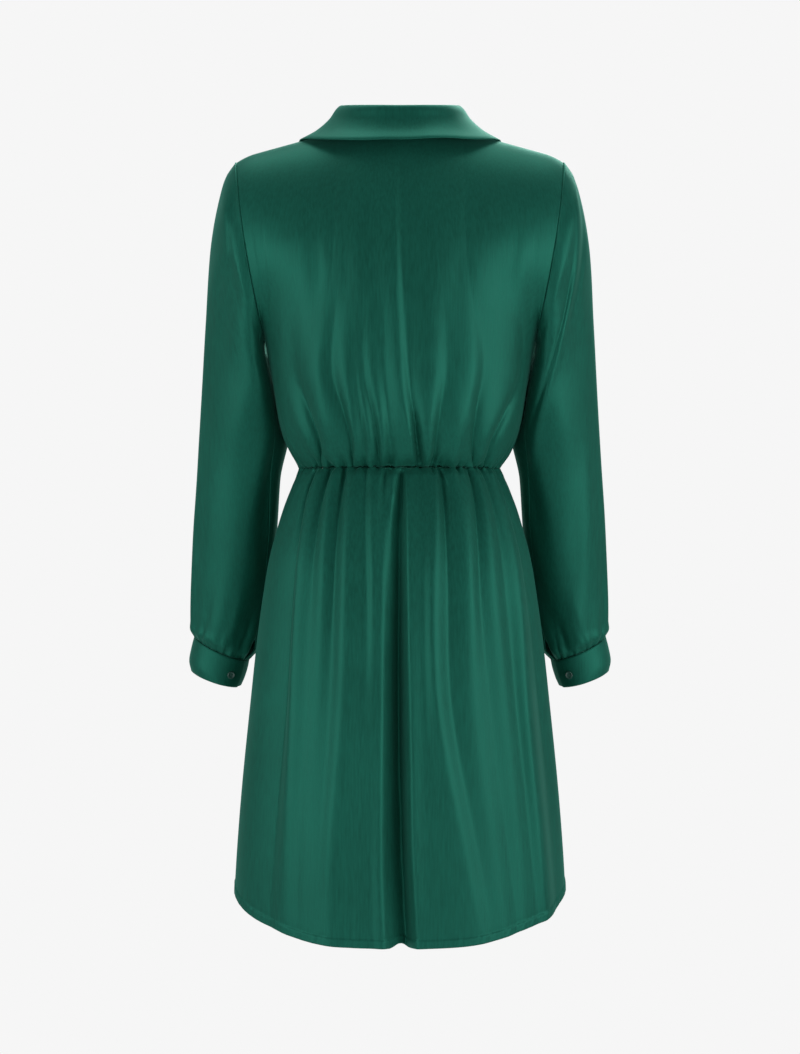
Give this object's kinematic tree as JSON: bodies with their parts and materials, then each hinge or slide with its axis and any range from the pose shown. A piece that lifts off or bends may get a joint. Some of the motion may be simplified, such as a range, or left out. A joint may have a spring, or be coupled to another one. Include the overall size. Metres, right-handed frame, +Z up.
{
  "type": "wrap dress",
  "caption": "Knee-length wrap dress with a turned-down collar, long gathered sleeves with buttoned cuffs, a drawn-in waist and a gathered skirt with a shirt-tail hem.",
  "frame": {"origin": "base of the wearer's neck, midway between the shoulder seams, where the shoulders carry the dress", "axes": "+Z up, +Y to the wearer's back, +X to the wearer's left"},
  "size_m": [0.4932, 0.263, 0.9533],
  "materials": {
    "satin": "soft satin crepe with a broad sheen",
    "button": "dark pearly gloss"
  },
  "bodies": {
    "root": {"bodice_back": "satin", "bodice_front_left": "satin", "bodice_front_right": "satin", "collar": "satin", "cuff_left": "satin", "cuff_right": "satin", "skirt_back": "satin", "skirt_front_left": "satin", "skirt_front_right": "satin", "sleeve_left": "satin", "sleeve_right": "satin", "button_left": "button", "button_right": "button"}
  },
  "joints": []
}
